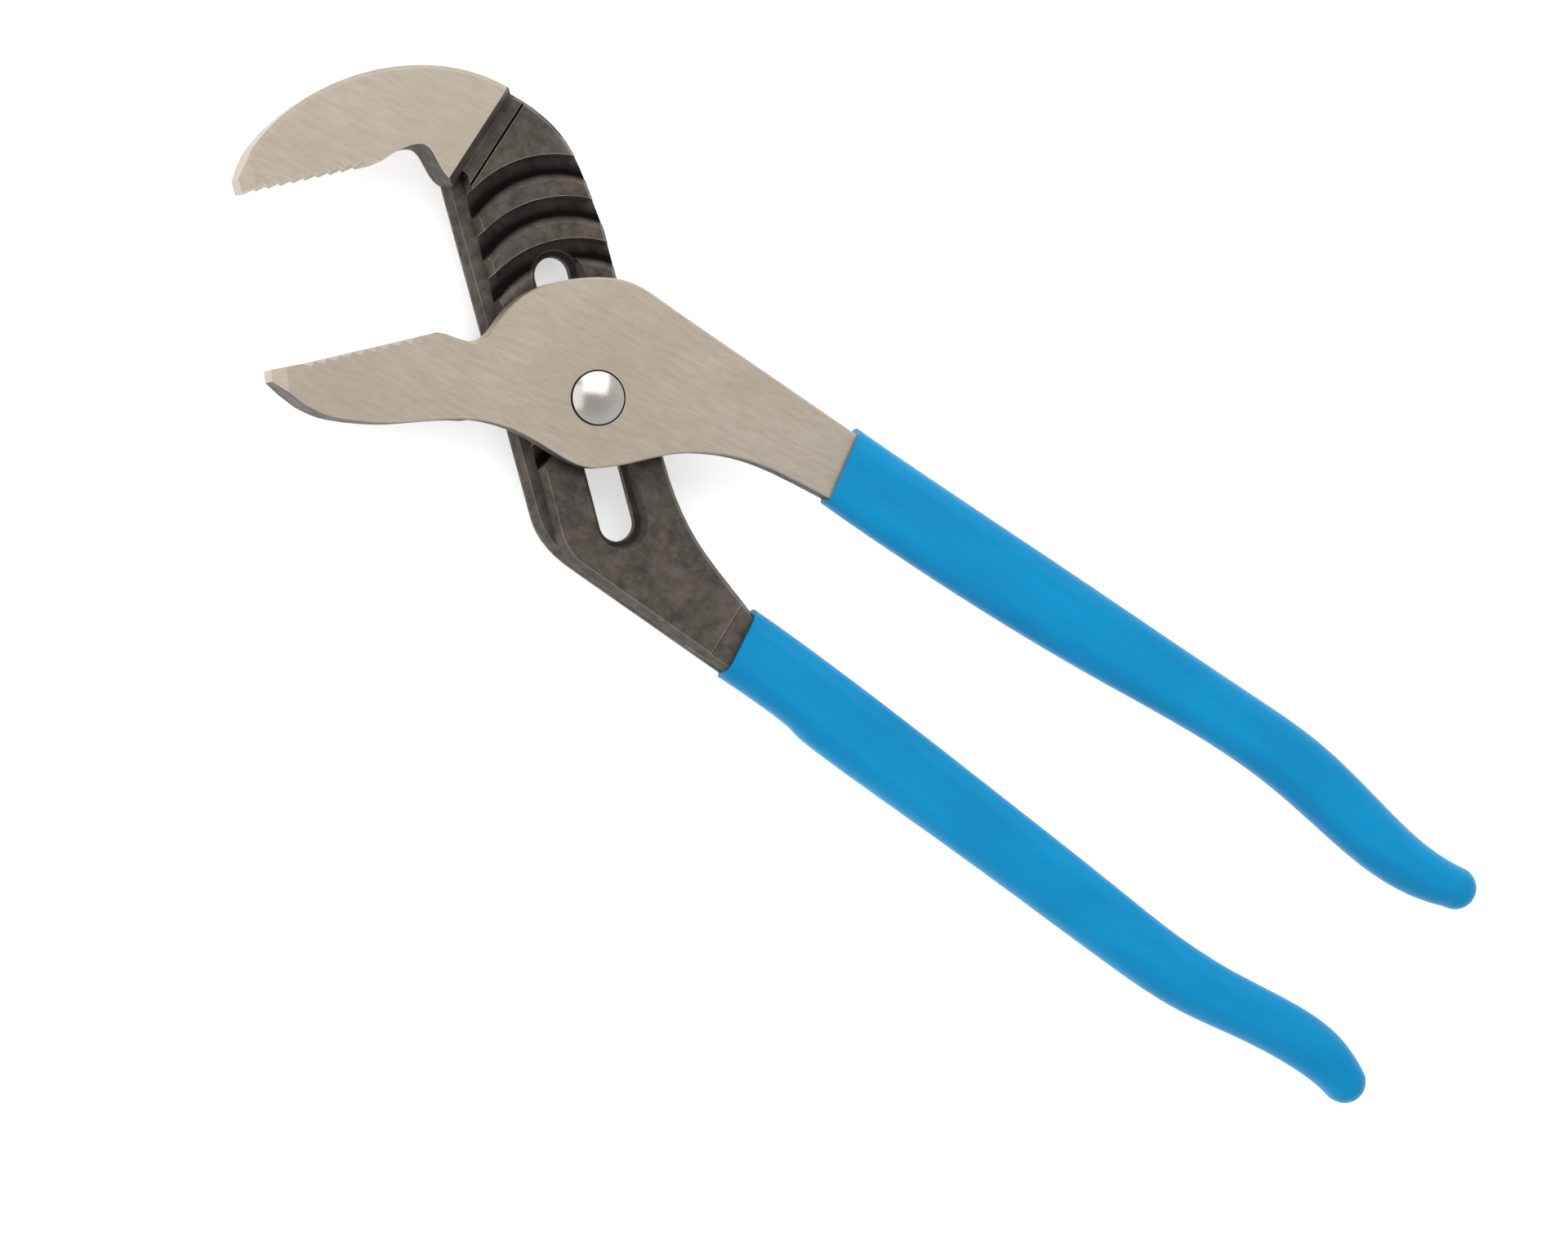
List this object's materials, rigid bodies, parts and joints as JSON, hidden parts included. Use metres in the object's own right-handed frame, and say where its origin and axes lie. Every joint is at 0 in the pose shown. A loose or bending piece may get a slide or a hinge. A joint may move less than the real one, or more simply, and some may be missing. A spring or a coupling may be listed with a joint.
{
  "type": "tongue and groove pliers",
  "caption": "Adjustable tongue and groove pliers: a slotted half with arc grooves and a hooked jaw, a plate half that pivots and steps along the slot, and dipped grips.",
  "frame": {"origin": "centre of the bounding box in plan, at the height of the pivot nut's lowest face", "axes": "+X along the tool from the jaws to the handle ends, +Y from the lower handle to the upper handle, +Z along the pivot bolt from the nut to the domed head"},
  "size_m": [0.3031, 0.0801, 0.0213],
  "materials": {
    "grooved_half": "forged steel with a dark oxide skin, worn to bare metal on the ridges and the jaw",
    "tongued_half": "forged steel with a fine linished grain, clear coated",
    "grip": "glossy dipped vinyl, light blue",
    "pivot_bolt": "turned and polished head",
    "pivot_washer": "plain steel",
    "pivot_nut": "dark oxide"
  },
  "bodies": {
    "grooved_body": {"grooved_half": "grooved_half", "lower_handle_grip": "grip"},
    "pivot": {"pivot_bolt": "pivot_bolt", "pivot_washer": "pivot_washer", "pivot_nut": "pivot_nut"},
    "tongued_body": {"tongued_half": "tongued_half", "upper_handle_grip": "grip"}
  },
  "joints": [
    {"name": "position_slide", "type": "slide", "parent": "grooved_body", "child": "pivot", "axis": [0.7431, -0.6691, 0], "range_m": [-0.0258, 0.0258]},
    {"name": "handle_pivot", "type": "hinge", "parent": "pivot", "child": "tongued_body", "pos_m": [-0.0683, -0.0025, 0.0132], "axis": [0, 0, 1], "range_deg": [-4, 48]}
  ]
}
